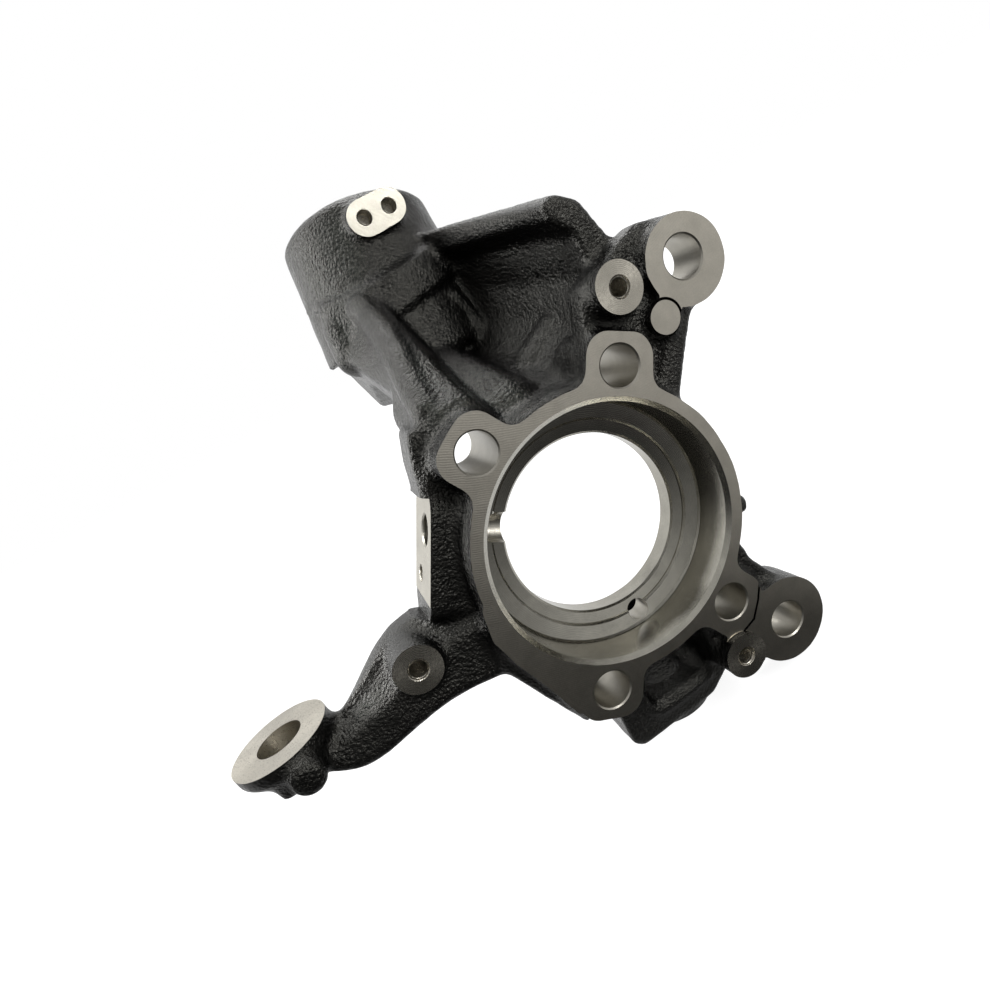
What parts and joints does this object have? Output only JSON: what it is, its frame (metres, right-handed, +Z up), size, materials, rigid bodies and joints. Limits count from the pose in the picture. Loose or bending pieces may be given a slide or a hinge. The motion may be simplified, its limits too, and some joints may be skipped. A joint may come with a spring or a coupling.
{
  "type": "steering knuckle",
  "caption": "Cast iron front steering knuckle: bearing ring, split strut clamp, caliper ears, steering arm with tie rod eye, and ball joint block.",
  "frame": {"origin": "centre of the wheel bearing seat, on the machined outboard hub face", "axes": "+X along the car, away from the steering arm; +Y inboard, so the hub face looks along -Y; +Z up, towards the strut clamp"},
  "size_m": [0.2173, 0.1746, 0.2264],
  "materials": {
    "casting": "black painted sand-cast skin, machined faces and bores bare"
  },
  "bodies": {
    "root": {"knuckle": "casting"}
  },
  "joints": []
}
